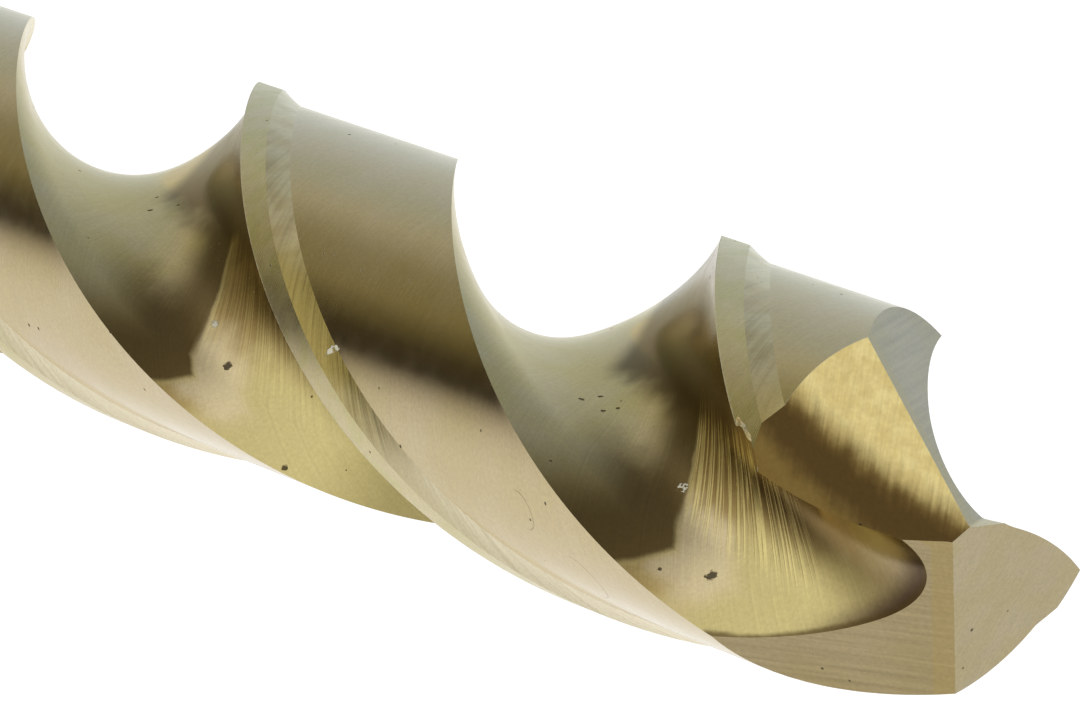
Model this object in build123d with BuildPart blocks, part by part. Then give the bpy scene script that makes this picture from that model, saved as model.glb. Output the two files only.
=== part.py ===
from build123d import *
from math import atan2, cos, degrees, pi, radians, sin, sqrt, tan
import os

# A straight-shank twist drill with two right-hand flutes and a split point.
# It stands on its shank end: the axis is Z, the tip is up, and the origin is
# the middle of the shank's end face. Millimetres and degrees.

# ---- driving dimensions ----
drill_diameter = 10.0
shank_diameter = 10.0
overall_length = 133.0
flute_length = 87.0          # from the tip to where the flutes fade out
runout_length = 13.0         # the part of it where the flute floor climbs out
helix_angle = 32.0

land_angle = 82.0            # leading edge to heel, seen along the axis
margin_width = 0.9           # the narrow strip that runs against the hole wall
margin_step_width = 0.7      # slope from the margin down to the relieved land
land_clearance = 0.275       # how far the relieved land lies below the margin
lead_face_lean = 3.6         # the cutting face passes this much ahead of the axis
flute_opening = 98.6         # between the cutting face and the heel wall
web_at_point = 1.7           # core left between the flutes at the tip
web_at_shank = 3.3           # the core is thicker where the flutes fade out
buried_core = 0.2            # the run-out core starts this much inside the web
buried_margin = 0.2          # and the margins this much inside the land

point_angle = 135.0
lip_relief = 16.6            # primary facets fall away behind the lips
split_half_chisel = 0.28     # centre to each end of the short chisel edge
notch_slope = 55.2           # fall of the notch floor behind the primary facet
notch_bearing = 120.0        # direction of that fall, from the lip, about Z
notch_wall_bearing = 16.0    # inner lip against the main lip, seen along the axis
notch_corner_radius = 0.15   # left by the corner of the grinding wheel

chip_length = 1.5            # broken piece of one outer corner, along its edge
chip_width = 0.3
chip_depth = 0.45

shank_chamfer = 0.5

# ---- derived sizes ----
drill_radius = drill_diameter / 2
land_radius = drill_radius - land_clearance
shank_radius = shank_diameter / 2
shank_length = overall_length - flute_length
lead = pi * drill_diameter / tan(radians(helix_angle))
corner_drop = drill_radius / tan(radians(point_angle / 2))
corner_z = overall_length - corner_drop
fluted_height = flute_length + drill_radius    # the sweeps end above the tip
fluted_turn = 360 * fluted_height / lead


def polar(radius, angle):
    """A point of the cross-section, the angle in degrees."""
    return Vector(radius * cos(radians(angle)), radius * sin(radians(angle)))


def turned(z):
    """Angle of the first leading edge at height z: zero at the outer corner."""
    return 360 * (z - corner_z) / lead


# ---- flute outline: two nearly straight walls and a round root ----
heel_wall_angle = flute_opening - lead_face_lean
flute_middle = heel_wall_angle - flute_opening / 2
leading_edge = polar(drill_radius, 0)
heel = polar(land_radius, 180 - land_angle)
lead_wall = polar(1, -lead_face_lean)
heel_wall = polar(1, heel_wall_angle)
along_heel_wall = (heel - leading_edge).cross(lead_wall).Z / lead_wall.cross(heel_wall).Z
walls_meet = heel + heel_wall * along_heel_wall


def root_radius(web):
    """Radius that touches both flute walls and leaves half the web at the axis."""
    spread = 1 / sin(radians(flute_opening / 2))
    square = spread**2 - 1
    linear = 2 * spread * walls_meet.dot(polar(1, flute_middle)) - web
    constant = walls_meet.dot(walls_meet) - web**2 / 4
    return (-linear + sqrt(linear**2 - 4 * square * constant)) / (2 * square)


def flute_outline(web):
    """Section of one flute, open outwards: two walls and the round root between them."""
    with BuildSketch() as flute:
        with BuildLine():
            Polyline(
                walls_meet + lead_wall * drill_diameter,
                walls_meet,
                walls_meet + heel_wall * drill_diameter,
                close=True,
            )
        make_face()
        root = flute.vertices().sort_by_distance(walls_meet)[0]
        fillet(root, root_radius(web))
    return flute.face()


def margin_outline():
    """Section of one margin and the slope behind it, from inside the land to past the edge."""
    margin_angle = degrees(margin_width / drill_radius)
    step_angle = margin_angle + degrees(margin_step_width / drill_radius)
    step_top = polar(drill_radius, -margin_angle)
    step = polar(land_radius, -step_angle) - step_top
    with BuildSketch() as margin:
        with BuildLine():
            CenterArc((0, 0), drill_radius, -margin_angle, 2 * margin_angle)
            Polyline(
                step_top,
                step_top + step * (1 + buried_margin / land_clearance),
                polar(land_radius - buried_margin, margin_angle),
                polar(drill_radius, margin_angle),
            )
        make_face()
    return margin.face()


def along_helix(lower, upper):
    """The solid between two sections, swept up the helix from height zero."""
    climb = Location((0, 0, fluted_height), (0, 0, fluted_turn))
    helix = Helix(lead, fluted_height, drill_radius)
    return sweep([lower, upper.moved(climb)], path=helix, multisection=True, is_frenet=True)


# ---- the flutes and margins wind with the helix, and the web thins to the tip ----
flute = along_helix(flute_outline(web_at_shank), flute_outline(web_at_point))
margin = along_helix(margin_outline(), margin_outline())
upward = (Align.CENTER, Align.CENTER, Align.MIN)

with BuildPart() as drill:
    # ---- fluted body: margins ground to the drill's diameter, relieved lands, flutes ----
    with Locations(Location((0, 0, shank_length), (0, 0, turned(shank_length)))):
        Cylinder(land_radius, fluted_height, align=upward)
        with PolarLocations(0, 2):
            add(margin)
        with PolarLocations(0, 2):
            add(flute, mode=Mode.SUBTRACT)

    # ---- shank, and the core on which the flute floors climb to the surface ----
    with BuildSketch(Plane.XZ):
        with BuildLine():
            Polyline(
                (0, 0),
                (shank_radius - shank_chamfer, 0),
                (shank_radius, shank_chamfer),
                (shank_radius, shank_length),
                (0, shank_length),
                close=True,
            )
        make_face()
        with BuildLine():
            core_foot = (web_at_shank / 2 - buried_core, shank_length + runout_length)
            Polyline(
                (drill_radius, shank_length),
                (0, shank_length),
                (0, shank_length + runout_length),
                core_foot,
            )
            TangentArc(core_foot, (drill_radius, shank_length), tangent=(0, -1))
        make_face()
    revolve(axis=Axis.Z)

    # ---- primary facets: one plane behind each lip ----
    lip_fall = 1 / tan(radians(point_angle / 2))
    relief_fall = tan(radians(lip_relief))
    for side in (0, 180):
        facet = Plane((0, 0, overall_length), z_dir=(lip_fall, -relief_fall, 1))
        split(bisect_by=facet.rotated((0, 0, side)), keep=Keep.BOTTOM)

    # ---- split point: a ground notch thins the web behind each primary facet.
    # Its floor cuts the heel away and its wall is the inner cutting face ----
    ridge = degrees(atan2(lip_fall, relief_fall))
    chisel_end = -polar(split_half_chisel, ridge) + Vector(0, 0, overall_length)
    floor_up = Vector(0, 0, 1).rotate(Axis.Y, notch_slope).rotate(Axis.Z, -notch_bearing)
    wall_out = polar(1, notch_wall_bearing - 90)
    notch_root = wall_out.cross(floor_up).normalized()
    notch_angle = 180 - wall_out.get_angle(floor_up)
    notch_reach = 2 * drill_diameter
    with BuildSketch(Plane(chisel_end, x_dir=floor_up.cross(notch_root), z_dir=notch_root)) as notch:
        with BuildLine():
            Polyline(
                (notch_reach, 0),
                (0, 0),
                (notch_reach * cos(radians(notch_angle)), notch_reach * sin(radians(notch_angle))),
                close=True,
            )
        make_face()
        fillet(notch.vertices().sort_by_distance(chisel_end)[0], notch_corner_radius)
    for side in (0, 180):
        extrude(
            notch.sketch.rotate(Axis.Z, side),
            amount=drill_diameter,
            both=True,
            mode=Mode.SUBTRACT,
        )

    # ---- one outer corner is broken away along its margin ----
    edge_up = Vector(0, sin(radians(helix_angle)), cos(radians(helix_angle)))
    chip_floor = Vector(drill_radius - chip_depth, 0, corner_z)
    with BuildSketch(Plane(chip_floor, x_dir=edge_up, z_dir=(1, 0, 0))) as chip:
        with BuildLine():
            Polyline(
                (-chip_length, -chip_width),
                (-chip_length, 0),
                (chip_depth - chip_length, chip_width),
                (chip_width, 0),
                (chip_width, -chip_width),
                close=True,
            )
        make_face()
    extrude(chip.sketch, amount=drill_radius, mode=Mode.SUBTRACT)

drill.part.label = "twist_drill"
os.makedirs("parts", exist_ok=True)
export_step(drill.part, "parts/twist_drill.step")
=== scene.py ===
from math import atan2, cos, degrees, pi, radians, sin, sqrt, tan

import bmesh
import bpy
from mathutils import Matrix, Vector, noise


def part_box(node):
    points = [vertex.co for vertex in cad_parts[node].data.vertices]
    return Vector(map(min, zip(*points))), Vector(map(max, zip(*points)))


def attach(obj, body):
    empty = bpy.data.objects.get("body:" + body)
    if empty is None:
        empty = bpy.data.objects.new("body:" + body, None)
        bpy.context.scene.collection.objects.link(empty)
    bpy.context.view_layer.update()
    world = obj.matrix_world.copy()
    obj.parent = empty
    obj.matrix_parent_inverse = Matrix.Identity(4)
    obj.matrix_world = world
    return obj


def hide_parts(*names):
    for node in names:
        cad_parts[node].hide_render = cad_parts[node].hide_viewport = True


# A twist drill of heat-tinted high-speed steel, standing on its shank end.
# The drill is one mesh, finer than the frame's solid and made from the same sizes.
# Its lengths are millimetres and its angles degrees, and the finished mesh is scaled to metres.

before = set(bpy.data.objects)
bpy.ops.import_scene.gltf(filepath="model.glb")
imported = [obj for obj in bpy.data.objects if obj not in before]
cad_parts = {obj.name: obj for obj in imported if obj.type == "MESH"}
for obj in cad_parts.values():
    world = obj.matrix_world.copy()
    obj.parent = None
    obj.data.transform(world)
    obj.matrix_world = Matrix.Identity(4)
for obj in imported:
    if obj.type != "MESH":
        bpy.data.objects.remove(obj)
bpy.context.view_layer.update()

# ---- sizes of the drill ----
MILLIMETRE = 0.001
box_low, box_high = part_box("twist_drill")
overall_length = (box_high.z - box_low.z) / MILLIMETRE
drill_radius = (box_high.x - box_low.x) / 2 / MILLIMETRE
flute_length = 87.0
runout_length = 13.0
helix_angle = 32.0
land_angle = 82.0
margin_width = 0.9
margin_step_width = 0.7
land_clearance = 0.275
lead_face_lean = 3.6
flute_opening = 98.6
web_at_point = 1.7
web_at_shank = 3.3
buried_core = 0.2
point_angle = 135.0
lip_relief = 16.6
split_half_chisel = 0.28
notch_slope = 55.2
notch_bearing = 120.0
notch_wall_bearing = 16.0
notch_corner_radius = 0.15
chip_length = 1.5
chip_depth = 0.45
chip_overrun = 1.2
chip_half_width = 0.3
chip_unevenness = 0.35
chip_lumps_per_radius = 2.3
shank_chamfer = 0.5

# ---- derived sizes ----
land_radius = drill_radius - land_clearance
shank_length = overall_length - flute_length
lead = 2 * pi * drill_radius / tan(radians(helix_angle))
lip_fall = 1 / tan(radians(point_angle / 2))
relief_fall = tan(radians(lip_relief))
corner_z = overall_length - drill_radius * lip_fall
fluted_top = overall_length + drill_radius
cutter_reach = 4 * drill_radius

# ---- mesh fineness ----
ring_spacing = 0.26
margin_points = 5
step_points = 4
land_points = 26
wall_points = 12
root_points = 26
notch_corner_points = 8
chip_subdivisions = 4
sharpest_smooth_edge = 14.0

# ---- regions of the drill's surface, in the order of the material slots ----
LAND, MARGIN, STEP, FLUTE, SHANK, POINT, BANDED_POINT, NOTCH, CHIP = range(9)


def polar(radius, angle):
    """A point of the cross-section, the angle in degrees."""
    return Vector((radius * cos(radians(angle)), radius * sin(radians(angle))))


def turned(z):
    """Angle of the first leading edge at height z: zero at the outer corner."""
    return 360 * (z - corner_z) / lead


def web_at(z):
    """Thickness of the core between the flutes at height z."""
    share = (z - shank_length) / (fluted_top - shank_length)
    return web_at_shank + (web_at_point - web_at_shank) * share


def core_radius(z):
    """Radius of the round core on which the flute floors climb out, and zero above it."""
    down = shank_length + runout_length - z
    if down < 0:
        return 0
    foot = web_at_shank / 2 - buried_core
    climb = drill_radius - foot
    wheel = (climb**2 + runout_length**2) / (2 * climb)
    return foot + wheel - sqrt(wheel**2 - down**2)


def cross(a, b):
    """Z of the cross product of two section vectors."""
    return a.x * b.y - a.y * b.x


def spread(start, end, count):
    """Values from start towards end, without the end itself."""
    return [start + (end - start) * i / count for i in range(count)]


# ---- the fluted body ----


def flute_points(web):
    """The points of one flute from its heel to the next leading edge."""
    heel_wall_angle = flute_opening - lead_face_lean
    flute_middle = heel_wall_angle - flute_opening / 2
    edge = polar(drill_radius, 0)
    heel = polar(land_radius, 180 - land_angle)
    lead_wall = polar(1, -lead_face_lean)
    heel_wall = polar(1, heel_wall_angle)
    meet = heel + heel_wall * (cross(heel - edge, lead_wall) / cross(lead_wall, heel_wall))

    # the root is the circle that touches both walls and leaves half the web at the axis
    away = 1 / sin(radians(flute_opening / 2))
    middle = polar(1, flute_middle)
    square = away**2 - 1
    linear = 2 * away * meet.dot(middle) - web
    constant = meet.dot(meet) - web**2 / 4
    root_radius = (-linear + sqrt(linear**2 - 4 * square * constant)) / (2 * square)
    centre = meet + middle * away * root_radius
    tangent = root_radius / tan(radians(flute_opening / 2))
    heel_foot = meet + heel_wall * tangent
    lead_foot = meet + lead_wall * tangent
    start = degrees(atan2(*(heel_foot - centre).yx)) % 360
    sweep = 180 - flute_opening

    points = [heel.lerp(heel_foot, t) for t in spread(0, 1, wall_points)]
    points += [centre + polar(root_radius, start + sweep * t) for t in spread(0, 1, root_points)]
    points += [lead_foot.lerp(edge, t) for t in spread(0, 1, wall_points)]
    return points


def section(z):
    """The section at height z before it is turned: points and the region that follows each."""
    margin_end = -degrees(margin_width / drill_radius)
    step_end = margin_end - degrees(margin_step_width / drill_radius)
    step_top = polar(drill_radius, margin_end)
    step_foot = polar(land_radius, step_end)
    half = [(polar(drill_radius, a), MARGIN) for a in spread(0, margin_end, margin_points)]
    half += [(step_top.lerp(step_foot, t), STEP) for t in spread(0, 1, step_points)]
    half += [(polar(land_radius, a), LAND) for a in spread(step_end, -land_angle, land_points)]
    half += [(-point, FLUTE) for point in flute_points(web_at(z))]
    whole = half + [(-point, region) for point, region in half]
    core = core_radius(z)
    return [(p * max(1, core / p.length), region) for p, region in whole]


def ring_at(z):
    """The section's points at height z, turned with the helix."""
    turn = Matrix.Rotation(radians(turned(z)), 2)
    return [(*(turn @ point), z) for point, region in section(z)]


def distances(points):
    """How far round the outline each point lies from the first, and the whole way round."""
    along = [0.0]
    for start, end in zip(points, points[1:] + points[:1]):
        along.append(along[-1] + (end - start).length)
    return along


def body_mesh():
    """The turned and fluted blank as a closed mesh, still uncut above the point.

    Its UV map holds the way round the section and the height, both in millimetres.
    """
    bm = bmesh.new()
    surface = bm.loops.layers.uv.new("surface")
    across = distances([point for point, region in section(corner_z)])
    regions = [region for point, region in section(fluted_top)]
    count = round((fluted_top - shank_length) / ring_spacing)
    heights = [shank_length + (fluted_top - shank_length) * i / count for i in range(count + 1)]
    rings = [ring_at(z) for z in heights]
    top_of_shank = rings[0]
    shank_rings = [(shank_chamfer, drill_radius), (0, drill_radius - shank_chamfer)]
    for z, radius in shank_rings:
        share = radius / drill_radius
        rings.insert(0, [(x * share, y * share, z) for x, y, _ in top_of_shank])
    layers = [[bm.verts.new(point) for point in ring] for ring in rings]
    for level, (lower, upper) in enumerate(zip(layers, layers[1:])):
        for i, region in enumerate(regions):
            j = (i + 1) % len(regions)
            face = bm.faces.new((lower[j], lower[i], upper[i], upper[j]))
            for loop, column in zip(face.loops, (i + 1, i, i, i + 1)):
                loop[surface].uv = (across[column], loop.vert.co.z)
            face.material_index = SHANK if level < len(shank_rings) else region
    bm.faces.new(layers[0]).material_index = SHANK
    bm.faces.new(reversed(layers[-1])).material_index = SHANK
    bmesh.ops.recalc_face_normals(bm, faces=bm.faces)
    return bm


def grind_primary_facets(bm):
    """Cuts the point by one plane behind each lip and closes the cuts.

    On the new faces the UV map holds the way along the lip and the way back from it.
    """
    surface = bm.loops.layers.uv["surface"]
    tip = Vector((0, 0, overall_length))
    for side, region in ((1, BANDED_POINT), (-1, POINT)):
        normal = Vector((side * lip_fall, -side * relief_fall, 1)).normalized()
        everything = bm.verts[:] + bm.edges[:] + bm.faces[:]
        plane = {"plane_co": tip, "plane_no": normal}
        cut = bmesh.ops.bisect_plane(bm, geom=everything, clear_outer=True, **plane)
        edges = [e for e in cut["geom_cut"] if isinstance(e, bmesh.types.BMEdge)]
        for face in bmesh.ops.edgeloop_fill(bm, edges=edges)["faces"]:
            face.material_index = region
            for loop in face.loops:
                loop[surface].uv = (side * loop.vert.co.x, -side * loop.vert.co.y)


def prism(outline, origin, x_axis, normal, reach):
    """A closed mesh of the flat outline, stretched by reach to both sides of its plane.

    Its UV map holds the way round the outline and the way along the stretch.
    """
    y_axis = normal.cross(x_axis)
    bm = bmesh.new()
    surface = bm.loops.layers.uv.new("surface")
    across = distances(outline)
    ends = []
    for side in (-reach, reach):
        corners = [origin + x_axis * x + y_axis * y + normal * side for x, y in outline]
        ends.append([bm.verts.new(corner) for corner in corners])
    bm.faces.new(ends[0])
    bm.faces.new(reversed(ends[1]))
    for i in range(len(outline)):
        j = (i + 1) % len(outline)
        face = bm.faces.new((ends[0][i], ends[0][j], ends[1][j], ends[1][i]))
        corners = ((i, -reach), (i + 1, -reach), (i + 1, reach), (i, reach))
        for loop, (column, side) in zip(face.loops, corners):
            loop[surface].uv = (across[column], side)
    bmesh.ops.recalc_face_normals(bm, faces=bm.faces)
    return bm


def notch_planes():
    """A point on the notch's inner edge, and the directions square to its floor and its wall."""
    ridge = atan2(lip_fall, relief_fall)
    tip = Vector((0, 0, overall_length))
    chisel_end = tip - Vector((cos(ridge), sin(ridge), 0)) * split_half_chisel
    bearing = radians(-notch_bearing)
    slope = radians(notch_slope)
    floor_up = Vector((sin(slope) * cos(bearing), sin(slope) * sin(bearing), cos(slope)))
    wall_out = Vector((*polar(1, notch_wall_bearing - 90), 0))
    return chisel_end, floor_up, wall_out


def notch_cutter(side):
    """The grinding wheel's wedge that splits the point behind one primary facet."""
    chisel_end, floor_up, wall_out = notch_planes()
    root = wall_out.cross(floor_up).normalized()
    opening = pi - wall_out.angle(floor_up)
    setback = notch_corner_radius / tan(opening / 2)
    arc_centre = Vector((setback, notch_corner_radius))
    wall = Vector((cos(opening), sin(opening)))
    outline = [Vector((cutter_reach, 0))]
    for turn in spread(-pi / 2, opening - 3 * pi / 2, notch_corner_points):
        outline.append(arc_centre + Vector((cos(turn), sin(turn))) * notch_corner_radius)
    outline.append(wall * setback)
    outline.append(wall * cutter_reach)
    bm = prism(outline, chisel_end, floor_up.cross(root), root, cutter_reach / 2)
    bmesh.ops.rotate(bm, verts=bm.verts, cent=(0, 0, 0), matrix=Matrix.Rotation(side, 3, "Z"))
    return bm


def chip_cutter():
    """A rough lump that breaks one outer corner away, as brittle steel breaks."""
    bm = bmesh.new()
    bmesh.ops.create_icosphere(bm, subdivisions=chip_subdivisions, radius=1)
    outward = Vector((1, 0, 0))
    along = Vector((0, sin(radians(helix_angle)), cos(radians(helix_angle))))
    across = Vector((0, along.z, -along.y))
    centre = Vector((drill_radius, 0, corner_z)) - along * chip_length / 2
    half_length = chip_length / 2 * chip_overrun
    for vert in bm.verts:
        lump = vert.co * (1 + chip_unevenness * noise.noise(vert.co * chip_lumps_per_radius))
        sideways = outward * lump.x * chip_depth + across * lump.y * chip_half_width
        vert.co = centre + along * lump.z * half_length + sideways
    return bm


def subtract(body, cutter_mesh, material):
    """Cuts the cutter out of the body. The cut faces take the cutter's material."""
    mesh = bpy.data.meshes.new("cutter")
    cutter_mesh.to_mesh(mesh)
    cutter_mesh.free()
    mesh.materials.append(material)
    cutter = bpy.data.objects.new("cutter", mesh)
    bpy.context.scene.collection.objects.link(cutter)
    cut = body.modifiers.new("cut", "BOOLEAN")
    cut.operation = "DIFFERENCE"
    cut.solver = "EXACT"
    cut.material_mode = "TRANSFER"
    cut.object = cutter
    result = body.evaluated_get(bpy.context.evaluated_depsgraph_get())
    finished = bpy.data.meshes.new_from_object(result)
    body.modifiers.clear()
    body.data = finished
    bpy.data.objects.remove(cutter)


# ---- node helpers ----


def group(name, inputs, outputs):
    """A shader node group with named sockets: {name: default} in, [(name, type)] out."""
    tree = bpy.data.node_groups.new(name, "ShaderNodeTree")
    for socket, default in inputs.items():
        kind = "NodeSocketVector" if isinstance(default, tuple) else "NodeSocketFloat"
        made = tree.interface.new_socket(socket, in_out="INPUT", socket_type=kind)
        made.default_value = default
    for socket, kind in outputs:
        tree.interface.new_socket(socket, in_out="OUTPUT", socket_type=kind)
    return tree, tree.nodes.new("NodeGroupInput"), tree.nodes.new("NodeGroupOutput")


def put(tree, kind, sockets=None, **attributes):
    """Adds a node with its attributes set, and its sockets linked or set."""
    node = tree.nodes.new(kind)
    for name, value in attributes.items():
        setattr(node, name, value)
    for name, value in (sockets or {}).items():
        feed(tree, value, node.inputs[name])
    return node


def feed(tree, value, socket):
    """Links a socket to another, or sets it to a plain value."""
    if isinstance(value, bpy.types.NodeSocket):
        tree.links.new(value, socket)
    else:
        socket.default_value = value


def compute(tree, operation, a, b=0.0, c=0.0, clamp=False):
    """A Math node's result."""
    sockets = {0: a, 1: b, 2: c}
    return put(tree, "ShaderNodeMath", sockets, operation=operation, use_clamp=clamp).outputs[0]


def times(tree, a, b):
    """The product of two values or masks."""
    return compute(tree, "MULTIPLY", a, b)


def scaled_onto(tree, value, factor, base):
    """A base value with a share of another value added."""
    return compute(tree, "MULTIPLY_ADD", value, factor, base)


def ramp(tree, value, low, high, to_low=0.0, to_high=1.0, smooth=True):
    """Value taken from the range low..high to to_low..to_high."""
    kind = "SMOOTHSTEP" if smooth else "LINEAR"
    sockets = {"Value": value, "From Min": low, "From Max": high}
    sockets.update({"To Min": to_low, "To Max": to_high})
    return put(tree, "ShaderNodeMapRange", sockets, interpolation_type=kind).outputs[0]


def window(tree, value, start, full, full_end, end):
    """One between full and full_end, and zero before start and after end."""
    rise = ramp(tree, value, start, full)
    return times(tree, rise, ramp(tree, value, full_end, end, 1.0, 0.0))


def stretched(tree, pattern, low, high, tail=0.3, smooth=False):
    """A noise pattern, which seldom leaves tail..1 - tail, stretched to low..high."""
    return ramp(tree, pattern, tail, 1 - tail, low, high, smooth)


def blend(tree, share, first, second, mode="MIX"):
    """Two colours mixed by a share of the second."""
    node = put(tree, "ShaderNodeMix", data_type="RGBA", blend_type=mode)
    feed(tree, share, node.inputs[0])
    feed(tree, first, node.inputs[6])
    feed(tree, second, node.inputs[7])
    return node.outputs[2]


def place(tree, source, **inputs):
    """Places a node group in a material or in another group."""
    node = tree.nodes.new("ShaderNodeGroup")
    node.node_tree = source
    for name, value in inputs.items():
        feed(tree, value, node.inputs[name])
    return node


def distance_to(tree, position, centre):
    """How far a position lies from a centre."""
    sockets = {0: position, 1: centre}
    return put(tree, "ShaderNodeVectorMath", sockets, operation="DISTANCE").outputs["Value"]


def height_over(tree, position, origin, normal):
    """Height of a position over a plane."""
    away = put(tree, "ShaderNodeVectorMath", {0: position, 1: tuple(origin)}, operation="SUBTRACT")
    sockets = {0: away.outputs[0], 1: tuple(normal)}
    return put(tree, "ShaderNodeVectorMath", sockets, operation="DOT_PRODUCT").outputs["Value"]


# ---- shared effects ----


def drill_position_group():
    """Where a point lies: millimetres, bearing in degrees, and depths under the facets and notches."""
    outputs = [("Millimetres", "NodeSocketVector"), ("Bearing", "NodeSocketFloat")]
    outputs += [("Point Depth", "NodeSocketFloat"), ("Notch Depth", "NodeSocketFloat")]
    tree, given, result = group("Drill Position", {"Position": (0, 0, 0)}, outputs)
    sockets = {0: given.outputs["Position"], "Scale": 1 / MILLIMETRE}
    where = put(tree, "ShaderNodeVectorMath", sockets, operation="SCALE").outputs[0]
    x, y, z = put(tree, "ShaderNodeSeparateXYZ", {0: where}).outputs
    bearing = times(tree, compute(tree, "ARCTAN2", y, x), 180 / pi)
    tip = Vector((0, 0, overall_length))
    facet_up = Vector((lip_fall, -relief_fall, 1)).normalized()
    chisel_end, floor_up, wall_out = notch_planes()
    over_facets = []
    over_floors = []
    for side in (1, -1):
        half_turn = Matrix.Diagonal((side, side, 1))
        over_facets.append(height_over(tree, where, tip, half_turn @ facet_up))
        over_floors.append(height_over(tree, where, half_turn @ chisel_end, half_turn @ floor_up))
    point_depth = times(tree, compute(tree, "MAXIMUM", *over_facets), -1.0)
    notch_depth = times(tree, compute(tree, "MAXIMUM", *over_floors), -1.0)
    feed(tree, where, result.inputs["Millimetres"])
    feed(tree, bearing, result.inputs["Bearing"])
    feed(tree, point_depth, result.inputs["Point Depth"])
    feed(tree, notch_depth, result.inputs["Notch Depth"])
    return tree


def grinding_lines_group():
    """Fine scratches left by a wheel: long one way, spaced the other way."""
    inputs = {"Across": 0.0, "Along": 0.0, "Spacing": 0.05, "Length": 2.0}
    tree, given, result = group("Grinding Lines", inputs, [("Lines", "NodeSocketFloat")])
    across = compute(tree, "DIVIDE", given.outputs["Across"], given.outputs["Spacing"])
    along = compute(tree, "DIVIDE", given.outputs["Along"], given.outputs["Length"])
    where = put(tree, "ShaderNodeCombineXYZ", {0: across, 1: along})
    sockets = {"Vector": where.outputs[0], "Scale": 1.0, "Detail": 3.0}
    pattern = put(tree, "ShaderNodeTexNoise", sockets, noise_dimensions="2D")
    feed(tree, pattern.outputs["Fac"], result.inputs["Lines"])
    return tree


def mottle_group():
    """Uneven patches, as an oxide film or a worn coat leaves them."""
    inputs = {"Millimetres": (0, 0, 0), "Size": 1.0, "Detail": 4.0}
    tree, given, result = group("Mottle", inputs, [("Patches", "NodeSocketFloat")])
    scale = compute(tree, "DIVIDE", 1.0, given.outputs["Size"])
    sockets = {"Vector": given.outputs["Millimetres"], "Scale": scale, "Detail": given.outputs["Detail"]}
    pattern = put(tree, "ShaderNodeTexNoise", sockets)
    feed(tree, pattern.outputs["Fac"], result.inputs["Patches"])
    return tree


smallest_speck = 0.3
speck_core = 0.5


def specks_group():
    """Scattered round spots of mixed sizes: pits in the steel, or dust on it."""
    inputs = {"Millimetres": (0, 0, 0), "Spacing": 0.6, "Size": 0.1, "Share": 0.3}
    tree, given, result = group("Specks", inputs, [("Spots", "NodeSocketFloat")])
    scale = compute(tree, "DIVIDE", 1.0, given.outputs["Spacing"])
    sockets = {"Vector": given.outputs["Millimetres"], "Scale": scale}
    cells = put(tree, "ShaderNodeTexVoronoi", sockets)
    chance = put(tree, "ShaderNodeSeparateColor", {0: cells.outputs["Color"]})
    lucky = compute(tree, "LESS_THAN", chance.outputs[0], given.outputs["Share"])
    largest = compute(tree, "DIVIDE", given.outputs["Size"], given.outputs["Spacing"])
    radius = times(tree, largest, ramp(tree, chance.outputs[1], 0, 1, smallest_speck, 1.0))
    core = times(tree, radius, speck_core)
    spot = ramp(tree, cells.outputs["Distance"], core, radius, 1.0, 0.0)
    feed(tree, times(tree, spot, lucky), result.inputs["Spots"])
    return tree


mark_grain = 9.0
mark_spikes = 3.0
mark_core = 0.35
mark_rim = 0.55


def mark_group():
    """One ragged mark at a chosen place, such as a deep pit or a crumb of dust."""
    inputs = {"Millimetres": (0, 0, 0), "Centre": (0, 0, 0), "Size": 0.1, "Raggedness": 0.3}
    tree, given, result = group("Mark", inputs, [("Mask", "NodeSocketFloat")])
    away = distance_to(tree, given.outputs["Millimetres"], given.outputs["Centre"])
    sockets = {"Vector": given.outputs["Millimetres"], "Scale": mark_grain}
    edge = put(tree, "ShaderNodeTexNoise", sockets).outputs["Fac"]
    uneven = times(tree, compute(tree, "SUBTRACT", edge, 0.5), given.outputs["Raggedness"])
    share = scaled_onto(tree, uneven, mark_spikes, compute(tree, "DIVIDE", away, given.outputs["Size"]))
    feed(tree, ramp(tree, share, mark_core, mark_rim, 1.0, 0.0), result.inputs["Mask"])
    return tree


POSITION = drill_position_group()
LINES = grinding_lines_group()
MOTTLE = mottle_group()
SPECKS = specks_group()
MARK = mark_group()


# ---- colours of the steel ----

# the film that hot steel grows, from its palest colour to its darkest; several also colour the painted
# shade and painted reflections below
pale_straw = (0.80, 0.71, 0.47, 1)
straw = (0.70, 0.59, 0.35, 1)
warm_tan = (0.72, 0.61, 0.40, 1)
honey = (0.68, 0.57, 0.28, 1)
pale_olive = (0.74, 0.68, 0.38, 1)
gold = (0.74, 0.58, 0.24, 1)
bright_gold = (0.98, 0.86, 0.44, 1)
deep_gold = (0.86, 0.72, 0.34, 1)
lime_gold = (0.66, 0.58, 0.31, 1)
step_gold = (0.36, 0.28, 0.08, 1)
orange_brown = (0.52, 0.38, 0.16, 1)
bronze = (0.36, 0.25, 0.11, 1)
plum = (0.30, 0.21, 0.15, 1)
lip_brown = (0.20, 0.13, 0.036, 1)
umber = (0.15, 0.105, 0.045, 1)
near_black_brown = (0.11, 0.07, 0.026, 1)
black_brown = (0.09, 0.055, 0.045, 1)

# where the film is thin or gone, and what lies on it; rosy, the lit straw and the bare colour also serve
# painted reflections and painted highlights
rosy = (0.82, 0.71, 0.54, 1)
painted_light_straw = (1.0, 0.92, 0.72, 1)
bare_and_highlight = (0.78, 0.72, 0.58, 1)
grey = (0.56, 0.55, 0.44, 1)
warm_edge = (0.93, 0.90, 0.80, 1)
soot = (0.03, 0.025, 0.02, 1)
dust = (0.80, 0.80, 0.76, 1)

# ---- flaws that stand out: (place in millimetres, size or radius) ----

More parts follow.
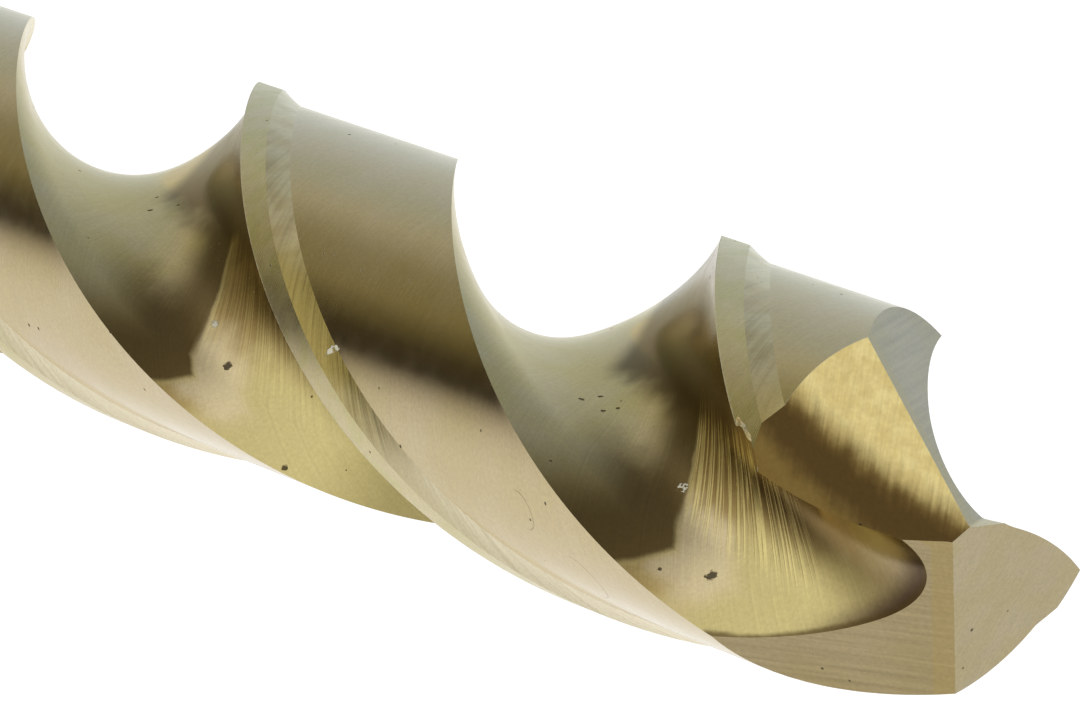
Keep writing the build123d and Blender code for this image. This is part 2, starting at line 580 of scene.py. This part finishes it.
flute_pits = [
    ((1.74, 2.44, 99.53), 0.26),
    ((1.67, 3.00, 125.56), 0.30),
    ((1.88, 0.01, 117.51), 0.17),
    ((1.42, -0.20, 117.54), 0.14),
    ((1.68, 0.12, 118.33), 0.16),
    ((1.37, -0.07, 118.45), 0.13),
    ((1.02, 4.45, 102.87), 0.18),
    ((1.12, -0.74, 91.63), 0.16),
    ((2.46, 3.27, 124.49), 0.14),
]
flute_crumbs = [((1.47, 1.18, 122.74), 0.24), ((1.70, 1.51, 98.13), 0.20)]
land_crumbs = [((4.69, 0.97, 109.58), 0.22), ((4.65, 0.85, 109.75), 0.16)]
land_scratches = [((2.23, 4.16, 120.9), 0.75), ((3.58, 3.07, 119.2), 0.55)]

# ---- finish that every ground face shares ----

patch_start = 0.6
patch_softness = 0.3
ground_roughness = 0.13
grain_size = 0.10
grain_relief = 0.00006
grain_darkest = 0.93
grain_lightest = 1.05
handled_size = 0.6
handled_roughness = 0.04
speck_spacing = 0.55
speck_size = 0.065
speck_share = 0.3
speck_depth = 0.01
crumb_raggedness = 0.9
dust_roughness = 0.6
pit_dirt = 0.8
pit_roughness = 0.4
scratch_strength = 0.6
edge_line_patch_size = 0.25
edge_line_least = -0.6
edge_line_unevenness = 2.4
edge_line_roughness = 0.22


class Steel:
    """A material built up in layers: film colour, stains and painted reflections, lines, pits, dust, and
    worn edges with painted highlights.
    """

    def __init__(self, name, film, patches, patch_size=2.5, patch_share=0.5):
        self.material = bpy.data.materials.new(name)
        self.material.use_nodes = True
        self.tree = self.material.node_tree
        self.shader = self.tree.nodes["Principled BSDF"]
        position = put(self.tree, "ShaderNodeTexCoord").outputs["Object"]
        placed = place(self.tree, POSITION, Position=position)
        self.millimetres = placed.outputs["Millimetres"]
        self.bearing = placed.outputs["Bearing"]
        self.point_depth = placed.outputs["Point Depth"]
        self.notch_depth = placed.outputs["Notch Depth"]
        surface = put(self.tree, "ShaderNodeUVMap", uv_map="surface").outputs["UV"]
        self.across, self.along, _ = put(self.tree, "ShaderNodeSeparateXYZ", {0: surface}).outputs
        self.grain = self.mottle(grain_size, 5.0)
        patch_edge = patch_start - patch_share / 2
        broad = self.mottle(patch_size, 3.0)
        patchy = ramp(self.tree, broad, patch_edge, patch_edge + patch_softness)
        self.colour = blend(self.tree, patchy, film, patches)
        self.roughness = ground_roughness
        self.relief = times(self.tree, self.grain, grain_relief)
        self.metallic = 1.0

    def mottle(self, size, detail):
        """Patches of the given size in millimetres."""
        inputs = {"Millimetres": self.millimetres, "Size": size, "Detail": detail}
        return place(self.tree, MOTTLE, **inputs).outputs[0]

    def streaks(self, across, along, spacing, length):
        """The pattern of a wheel's scratches, spaced across and long along."""
        inputs = {"Across": across, "Along": along, "Spacing": spacing, "Length": length}
        return place(self.tree, LINES, **inputs).outputs[0]

    def mark(self, centre, size, raggedness=0.25):
        """The mask of one ragged mark."""
        inputs = {"Millimetres": self.millimetres, "Centre": centre, "Size": size}
        return place(self.tree, MARK, Raggedness=raggedness, **inputs).outputs[0]

    def tint(self, mask, colour):
        """Lays a colour over the film where the mask is one."""
        self.colour = blend(self.tree, mask, self.colour, colour)

    def shade(self, factor):
        """Multiplies the colour by a value near one."""
        grey_shade = put(self.tree, "ShaderNodeCombineColor", {0: factor, 1: factor, 2: factor})
        self.colour = blend(self.tree, 1.0, self.colour, grey_shade.outputs[0], mode="MULTIPLY")

    def raise_by(self, mask, height):
        """Adds relief in millimetres where the mask is one."""
        self.relief = scaled_onto(self.tree, mask, height, self.relief)

    def roughen(self, mask, amount):
        """Adds roughness where the mask is one."""
        self.roughness = scaled_onto(self.tree, mask, amount, self.roughness)

    def lines(self, across, along, spacing, length, depth, contrast=0.1, roughening=0.08):
        """Grinding lines, depth in millimetres."""
        pattern = self.streaks(across, along, spacing, length)
        self.shade(stretched(self.tree, pattern, 1 - contrast, 1 + contrast / 2, tail=0.25))
        self.roughen(stretched(self.tree, pattern, 0, roughening), 1.0)
        self.raise_by(pattern, depth)

    def pit(self, mask, depth=0.02):
        """A dirty hollow where the mask is one."""
        self.tint(times(self.tree, mask, pit_dirt), soot)
        self.raise_by(mask, -depth)
        self.roughen(mask, pit_roughness)

    def crumb(self, mask, height=0.02):
        """Pale dust lying on the steel where the mask is one."""
        self.tint(mask, dust)
        self.metallic = compute(self.tree, "SUBTRACT", self.metallic, mask, clamp=True)
        self.raise_by(mask, height)
        self.roughen(mask, dust_roughness)

    def edge_wear_and_highlight(self, distance, width=0.035):
        """A bright line of an uneven width, where the distance from an edge is small: rubbed steel and a
        painted highlight.
        """
        patches = self.mottle(edge_line_patch_size, 4.0)
        uneven = scaled_onto(self.tree, patches, width * edge_line_unevenness, width * edge_line_least)
        mask = compute(self.tree, "LESS_THAN", distance, uneven)
        # bright rubbed steel and painted highlight along the edge
        self.tint(mask, bare_and_highlight)
        self.roughen(mask, edge_line_roughness)

    def scratch(self, centre, radius, width=0.022, depth=0.004):
        """A thin curved scratch: the upper part of a circle round the centre."""
        tree = self.tree
        away = distance_to(tree, self.millimetres, centre)
        height = put(tree, "ShaderNodeSeparateXYZ", {0: self.millimetres}).outputs[2]
        off = compute(tree, "ABSOLUTE", compute(tree, "SUBTRACT", away, radius))
        upper = ramp(tree, height, centre[2] - radius / 2, centre[2] + radius / 2)
        mask = times(tree, ramp(tree, off, width / 2, width, 1.0, 0.0), upper)
        self.tint(times(tree, mask, scratch_strength), bronze)
        self.raise_by(mask, -depth)

    def finish(self, pits=(), crumbs=()):
        """Adds what every face has, links the shader, and gives the material."""
        tree = self.tree
        for centre, size in pits:
            self.pit(self.mark(centre, size))
        inputs = {"Spacing": speck_spacing, "Size": speck_size, "Share": speck_share}
        specks = place(tree, SPECKS, Millimetres=self.millimetres, **inputs).outputs[0]
        self.pit(specks, depth=speck_depth)
        for centre, size in crumbs:
            self.crumb(self.mark(centre, size, raggedness=crumb_raggedness))
        self.shade(stretched(tree, self.grain, grain_darkest, grain_lightest))
        handled = self.mottle(handled_size, 4.0)
        self.roughen(stretched(tree, handled, 0, handled_roughness, smooth=True), 1.0)
        sockets = {"Height": self.relief, "Strength": 1.0, "Distance": MILLIMETRE}
        bump = put(tree, "ShaderNodeBump", sockets)
        feed(tree, self.colour, self.shader.inputs["Base Color"])
        feed(tree, self.metallic, self.shader.inputs["Metallic"])
        feed(tree, self.roughness, self.shader.inputs["Roughness"])
        feed(tree, bump.outputs[0], self.shader.inputs["Normal"])
        return self.material


# ---- lands and margins ----

# bearings in degrees, as start, full, full end and end
warm_bearing = (-46, -32, -14, -4)
# the step's painted shade and painted light: bearings where its colour is darkened and brightened like a
# dark and a bright reflection
painted_shade_bearing = (-22, -4, 16, 28)
painted_light_bearing = (24, 42, 120, 160)
warm_height = 2.0
warm_strength = 0.75
painted_shade_strength = 0.85
step_slant = 1.2
half_section = distances([point for point, region in section(corner_z)])[-1] / 2


def leading_edge_distance(steel):
    """How far a point of the fluted surface lies from the nearer leading edge, in millimetres."""
    return compute(steel.tree, "PINGPONG", steel.across, half_section / 2)


def warm_corner(steel):
    """A gold tinge near one outer corner, spread by that lip's heat."""
    tree = steel.tree
    ragged_height = scaled_onto(tree, steel.mottle(0.7, 3.0), 1.0, steel.along)
    near = ramp(tree, ragged_height, corner_z - warm_height, corner_z)
    mask = times(tree, near, window(tree, steel.bearing, *warm_bearing))
    steel.tint(times(tree, mask, warm_strength), honey)


def land_steel():
    """The relieved land: ground round, so its fine lines run round the drill."""
    steel = Steel("land_steel", warm_tan, straw)
    steel.lines(steel.along, steel.across, 0.07, 5.0, 0.00005, contrast=0.05, roughening=0.02)
    warm_corner(steel)
    # rubbed steel and painted highlight along the edge of the point
    steel.edge_wear_and_highlight(steel.point_depth)
    for centre, radius in land_scratches:
        steel.scratch(centre, radius)
    return steel.finish(crumbs=land_crumbs)


def margin_steel():
    """The margin: rubbed paler by the hole wall, with rubbed steel and a painted highlight at its
    leading edge.
    """
    steel = Steel("margin_steel", pale_straw, pale_olive, patch_size=0.8, patch_share=0.5)
    steel.roughness = 0.24
    steel.lines(steel.along, steel.across, 0.03, 4.0, 0.0003, roughening=0.05)
    # rubbed steel and painted highlight along the leading edge
    steel.edge_wear_and_highlight(leading_edge_distance(steel))
    return steel.finish()


def step_steel():
    """The slope behind the margin, with the slanting marks of the wheel that relieved the land, and a
    band of painted shade and one of painted light by bearing.
    """
    steel = Steel("step_steel", pale_straw, straw, patch_size=0.8, patch_share=0.4)
    tree = steel.tree
    slant = scaled_onto(tree, steel.across, step_slant, steel.along)
    steel.lines(slant, steel.across, 0.42, 3.0, 0.010, contrast=0.16)
    warm_corner(steel)
    # painted shade: a dark gold band, a dark reflection painted into the colour
    painted_shade_band = window(tree, steel.bearing, *painted_shade_bearing)
    steel.tint(times(tree, painted_shade_band, painted_shade_strength), step_gold)
    # painted light: pale straw, a bright reflection painted into the colour
    steel.tint(window(tree, steel.bearing, *painted_light_bearing), painted_light_straw)
    return steel.finish(crumbs=land_crumbs)


# ---- flutes ----

# Each flute has slanting feed marks, and every half lead a boundary lies at one of them.
# Patches of painted reflection lie by that boundary, dark ones painted shade and pale ones
# painted reflected light: (colour, strength, way past it, way round from the leading
# edge), each way as start, full, full end and end in millimetres.
feed_mark_slant = 0.95
flute_boundary = 132.3
before_boundary = 10.0
flute_painted_reflections = [
    (bronze, 0.92, (-0.1, 0.3, 6.5, 9.0), (8.8, 10.0, 12.8, 15.6)),
    (near_black_brown, 0.95, (-6.2, -4.8, 1.6, 3.4), (10.8, 11.6, 15.2, 15.9)),
    (near_black_brown, 0.88, (-2.6, -0.8, -0.1, 0.1), (8.8, 9.6, 11.5, 12.5)),
    (umber, 0.96, (-5.3, -1.6, -0.3, 0.0), (5.0, 6.6, 9.2, 10.4)),
    (orange_brown, 0.75, (-0.2, 0.1, 0.6, 1.5), (5.6, 6.4, 7.5, 8.1)),
    (rosy, 0.75, (-0.2, 0.2, 1.4, 2.6), (6.9, 7.7, 9.3, 10.2)),
    (lime_gold, 0.8, (1.4, 2.6, 8.0, 10.0), (3.0, 6.0, 9.4, 10.6)),
]
# towards the heel the boundary bends back down the flute
bend_start = 8.3
bend = 1.3
patch_raggedness = 0.7
boundary_raggedness = 0.35
# the boldest feed marks: where they lie, and how they fade away from the point
bold_across = (8.6, 9.6, 11.1, 11.9)
bold_past = (-0.05, 0.1, 3.8, 5.6)
bold_height = 14.0
faint_strength = 0.3
feed_mark_spacing = 0.09
feed_mark_length = 4.0
feed_mark_height = 0.003
feed_mark_shine = 0.5
feed_mark_edge = (0.46, 0.60)
# a dark rim along the edge of each notch: (colour, strength, full to, clear from)
rim_height = 3.0
rim_raggedness = 0.3
rim_tints = [(plum, 0.6, 0.2, 1.5), (black_brown, 0.9, 0.1, 0.6)]


def feed_marks(steel, across, mask):
    """Bold bright lines where the mask is one, each turn of the wheel leaving one."""
    pattern = steel.streaks(across, steel.across, feed_mark_spacing, feed_mark_length)
    ridges = times(steel.tree, ramp(steel.tree, pattern, *feed_mark_edge), mask)
    steel.tint(times(steel.tree, ridges, feed_mark_shine), bright_gold)
    steel.raise_by(ridges, feed_mark_height)


def flute_steel():
    """The flutes: straw film, slanting feed marks, painted reflections and a dark rim at each notch."""
    steel = Steel("flute_steel", straw, honey, patch_size=2.0, patch_share=0.45)
    tree = steel.tree
    way = compute(tree, "MODULO", steel.across, half_section)
    slant = scaled_onto(tree, way, feed_mark_slant, steel.along)
    counted_from = flute_boundary - before_boundary - 4 * lead
    turns = compute(tree, "MODULO", compute(tree, "SUBTRACT", slant, counted_from), lead / 2)
    past = compute(tree, "SUBTRACT", turns, before_boundary)

    uneven = scaled_onto(tree, steel.mottle(0.8, 3.0), patch_raggedness, -patch_raggedness / 2)
    ragged_way = compute(tree, "ADD", way, uneven)
    heelwards = compute(tree, "MAXIMUM", compute(tree, "SUBTRACT", bend_start, way), 0.0)
    bent_past = scaled_onto(tree, heelwards, bend, past)
    ragged_past = scaled_onto(tree, uneven, boundary_raggedness, bent_past)
    # painted reflections in the flutes: dark patches are painted shade, pale ones painted reflected
    # light
    for colour, strength, past_window, way_window in flute_painted_reflections:
        in_past = window(tree, ragged_past, *past_window)
        in_way = window(tree, ragged_way, *way_window)
        steel.tint(times(tree, times(tree, in_past, in_way), strength), colour)

    steel.lines(slant, way, 0.05, 6.0, 0.0008, contrast=0.08, roughening=0.05)
    bold = times(tree, window(tree, past, *bold_past), window(tree, ragged_way, *bold_across))
    fade_start = corner_z - bold_height
    strength = ramp(tree, steel.along, fade_start - bold_height, fade_start, faint_strength, 1.0)
    feed_marks(steel, slant, times(tree, bold, strength))

    near_notch = scaled_onto(tree, uneven, rim_raggedness, steel.notch_depth)
    near_point = ramp(tree, steel.along, corner_z - rim_height, corner_z)
    for colour, strength, full, clear in rim_tints:
        rim = ramp(tree, near_notch, full, clear, strength, 0.0)
        steel.tint(times(tree, rim, near_point), colour)
    # painted shade: a thin dark line along the crease where the flute meets the notch
    steel.tint(ramp(tree, near_notch, 0.03, 0.18, 0.8, 0.0), near_black_brown)
    # rubbed steel and painted highlights along the leading edge and the edges of the point
    steel.edge_wear_and_highlight(leading_edge_distance(steel))
    steel.edge_wear_and_highlight(steel.point_depth, width=0.03)
    steel.shader.inputs["Specular Tint"].default_value = warm_edge
    return steel.finish(pits=flute_pits, crumbs=flute_crumbs)


# ---- shank, point, notches and the broken corner ----

# the banded facet's brown, by the way back from a line that leans away from the lip
lip_band_slope = 0.36
lip_band = (-1.0, -0.2, 0.3, 1.0)
lip_brown_edge = (0.5, 1.5)
lip_brown_strength = 0.95
# the gold band beside the chisel edge, by its depth under the point
gold_band_edge = (0.42, 0.50)
gold_band_strength = 0.45


def shank_steel():
    """The shank: ground round and handled."""
    steel = Steel("shank_steel", warm_tan, straw)
    steel.lines(steel.along, steel.across, 0.035, 4.0, 0.0004)
    return steel.finish()


def point_steel():
    """A primary facet: a thin even film and fine short strokes straight back from the lip."""
    steel = Steel("point_steel", warm_tan, straw, patch_size=1.2)
    steel.lines(steel.across, steel.along, 0.04, 1.2, 0.0005, contrast=0.06)
    return steel.finish()


def lip_distance(steel):
    """How far a point of a primary facet lies behind its lip, which bows forward, in millimetres."""
    tree = steel.tree
    lean = tan(radians(lead_face_lean))
    twist = 2 * pi * lip_fall / lead
    from_corner = compute(tree, "SUBTRACT", drill_radius, steel.across)
    bow = times(tree, from_corner, scaled_onto(tree, steel.across, twist, lean))
    return compute(tree, "ADD", steel.along, bow)


def banded_point_steel():
    """The other primary facet: the film is brown in a band along its lip, with a near-black line in the
    band.
    """
    steel = Steel("banded_point_steel", bright_gold, deep_gold, patch_size=0.5)
    tree = steel.tree
    steel.lines(steel.across, steel.along, 0.07, 0.8, 0.0010, contrast=0.10)
    behind = lip_distance(steel)
    streaks = compute(tree, "SUBTRACT", steel.streaks(steel.across, steel.along, 0.14, 2.5), 0.5)
    streaky = scaled_onto(tree, streaks, 0.35, behind)
    ragged = scaled_onto(tree, steel.mottle(0.5, 3.0), 0.5, streaky)
    past_band = scaled_onto(tree, steel.across, -lip_band_slope, ragged)
    steel.tint(ramp(tree, past_band, *lip_brown_edge, lip_brown_strength, 0.0), lip_brown)
    steel.tint(window(tree, past_band, *lip_band), near_black_brown)
    return steel.finish()


def notch_steel():
    """The notch floors and walls: streaks along the wheel's travel, a gold band by the point."""
    steel = Steel("notch_steel", warm_tan, straw)
    steel.lines(steel.across, steel.along, 0.12, 5.0, 0.002, contrast=0.14)
    band = ramp(steel.tree, steel.point_depth, *gold_band_edge, gold_band_strength, 0.0)
    steel.tint(band, gold)
    return steel.finish()


def chip_steel():
    """The broken corner: grainy bare steel."""
    steel = Steel("chip_steel", grey, straw, patch_size=0.3)
    steel.roughness = 0.42
    steel.relief = times(steel.tree, steel.mottle(0.12, 6.0), 0.03)
    return steel.finish()


def make_materials():
    """One material for each region, in the order of the region numbers."""
    return [
        land_steel(),
        margin_steel(),
        step_steel(),
        flute_steel(),
        shank_steel(),
        point_steel(),
        banded_point_steel(),
        notch_steel(),
        chip_steel(),
    ]


# ---- the drill ----


def make_drill():
    """The finished drill: body, point, split point and the broken corner."""
    materials = make_materials()
    bm = body_mesh()
    grind_primary_facets(bm)
    mesh = bpy.data.meshes.new("twist_drill_steel")
    bm.to_mesh(mesh)
    bm.free()
    for material in materials:
        mesh.materials.append(material)
    drill = bpy.data.objects.new("twist_drill_steel", mesh)
    bpy.context.scene.collection.objects.link(drill)
    for side in (0, pi):
        subtract(drill, notch_cutter(side), materials[NOTCH])
    subtract(drill, chip_cutter(), materials[CHIP])
    drill.data.transform(Matrix.Scale(MILLIMETRE, 4))
    drill.data.name = "twist_drill_steel"
    drill.data.shade_smooth()
    drill.data.set_sharp_from_angle(angle=radians(sharpest_smooth_edge))
    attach(drill, "root")
    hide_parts("twist_drill")
    return drill


# ---- floor, light and camera, with lengths in metres ----

floor_radius = 0.04
floor_thickness = 0.002
floor_sides = 128
floor_roughness = 0.7
pale = (0.87, 0.89, 0.86, 1)

# The tent's colours once round it, as (azimuth, colour): at its foot, on its wall, and its roof.
tent_foot = [
    (-180, (1.15, 1.15, 1.15)),
    (-160, (0.74, 0.79, 0.77)),
    (-140, (0.60, 0.66, 0.68)),
    (-114, (0.51, 0.55, 0.57)),
    (-90, (0.44, 0.48, 0.47)),
    (-66, (0.45, 0.44, 0.37)),
    (-42, (0.28, 0.26, 0.17)),
    (-18, (0.23, 0.20, 0.10)),
    (-6, (0.13, 0.11, 0.05)),
    (6, (0.05, 0.04, 0.02)),
    (20, (0.04, 0.03, 0.02)),
    (31, (0.42, 0.39, 0.33)),
    (42, (0.66, 0.63, 0.55)),
    (60, (0.79, 0.77, 0.71)),
    (120, (0.86, 0.83, 0.77)),
    (180, (1.15, 1.15, 1.15)),
]
tent_wall = [
    (-180, (0.58, 0.60, 0.62)),
    (-150, (0.37, 0.44, 0.52)),
    (-125, (0.32, 0.36, 0.40)),
    (-105, (0.28, 0.30, 0.29)),
    (-88, (0.30, 0.29, 0.24)),
    (-66, (0.40, 0.38, 0.31)),
    (-50, (0.80, 0.77, 0.62)),
    (-15, (0.93, 0.90, 0.72)),
    (10, (0.55, 0.52, 0.38)),
    (90, (0.50, 0.47, 0.40)),
    (180, (0.58, 0.60, 0.62)),
]
tent_roof = (0.76, 0.72, 0.62, 1)
foot_ends = -50
wall_begins = -28
wall_ends = 0
roof_begins = 25

lamp_azimuth = 110
lamp_elevation = 60
lamp_distance = 0.6
lamp_size = 0.3
lamp_power = 0.35

# the camera looks at a point just beside the drill's axis, below the tip
camera_aim = Vector((-0.019, -0.548, 111.775)) * MILLIMETRE
camera_azimuth = -1.963
camera_elevation = 58.948
camera_roll = 109.940
camera_distance = 0.272224
camera_lens = 352.98
camera_sensor = 36.0


def direction(azimuth, elevation):
    """The unit vector at an azimuth from +X and an elevation, in degrees."""
    return Vector((*polar(cos(radians(elevation)), azimuth), sin(radians(elevation))))


def make_floor():
    """A plain pale round table top under the drill."""
    bm = bmesh.new()
    low = Matrix.Translation((0, 0, -floor_thickness / 2))
    sizes = {"radius1": floor_radius, "radius2": floor_radius, "depth": floor_thickness}
    bmesh.ops.create_cone(bm, cap_ends=True, segments=floor_sides, matrix=low, **sizes)
    mesh = bpy.data.meshes.new("floor")
    bm.to_mesh(mesh)
    bm.free()
    material = bpy.data.materials.new("pale_floor")
    material.use_nodes = True
    shader = material.node_tree.nodes["Principled BSDF"]
    shader.inputs["Base Color"].default_value = pale
    shader.inputs["Roughness"].default_value = floor_roughness
    mesh.materials.append(material)
    floor = bpy.data.objects.new("floor", mesh)
    bpy.context.scene.collection.objects.link(floor)


def colours_round(tree, turn, colours):
    """The colours of one height of the tent, once round."""
    node = put(tree, "ShaderNodeValToRGB", {"Fac": turn})
    stops = node.color_ramp.elements
    for azimuth, colour in colours[1:-1]:
        stops.new(azimuth / 360 + 0.5)
    for stop, (azimuth, colour) in zip(stops, colours):
        stop.color = (*colour, 1)
    return node.outputs["Color"]


def make_world():
    """A light tent: a world coloured by direction, pale on most sides and dark at its opening."""
    world = bpy.data.worlds.new("light_tent")
    bpy.context.scene.world = world
    world.use_nodes = True
    tree = world.node_tree
    towards = put(tree, "ShaderNodeTexCoord").outputs["Generated"]
    x, y, z = put(tree, "ShaderNodeSeparateXYZ", {0: towards}).outputs
    turn = scaled_onto(tree, compute(tree, "ARCTAN2", y, x), 1 / (2 * pi), 0.5)
    foot = colours_round(tree, turn, tent_foot)
    wall = colours_round(tree, turn, tent_wall)
    up_to_wall = ramp(tree, z, sin(radians(foot_ends)), sin(radians(wall_begins)))
    up_to_roof = ramp(tree, z, sin(radians(wall_ends)), sin(radians(roof_begins)))
    colour = blend(tree, up_to_roof, blend(tree, up_to_wall, foot, wall), tent_roof)
    feed(tree, colour, tree.nodes["Background"].inputs["Color"])


def make_lamp():
    """One soft lamp high over the drill."""
    data = bpy.data.lights.new("soft_lamp", "AREA")
    data.shape = "DISK"
    data.size = lamp_size
    data.energy = lamp_power
    lamp = bpy.data.objects.new("soft_lamp", data)
    bpy.context.scene.collection.objects.link(lamp)
    lamp.location = direction(lamp_azimuth, lamp_elevation) * lamp_distance
    lamp.rotation_euler = (-lamp.location).to_track_quat("-Z", "Y").to_euler()


def make_camera():
    """The camera, close above the tip and looking down past it."""
    data = bpy.data.cameras.new("camera")
    data.sensor_width = camera_sensor
    data.lens = camera_lens
    data.clip_start = 0.01
    data.clip_end = 5.0
    camera = bpy.data.objects.new("camera", data)
    bpy.context.scene.collection.objects.link(camera)
    swing = Matrix.Rotation(radians(camera_azimuth), 4, "Z")
    tilt = Matrix.Rotation(radians(90 - camera_elevation), 4, "Y")
    roll = Matrix.Rotation(radians(90 + camera_roll), 4, "Z")
    back = Matrix.Translation((0, 0, camera_distance))
    camera.matrix_world = Matrix.Translation(camera_aim) @ swing @ tilt @ roll @ back
    bpy.context.scene.camera = camera


make_drill()
make_floor()
make_world()
make_lamp()
make_camera()
bpy.context.scene.view_settings.view_transform = "Standard"
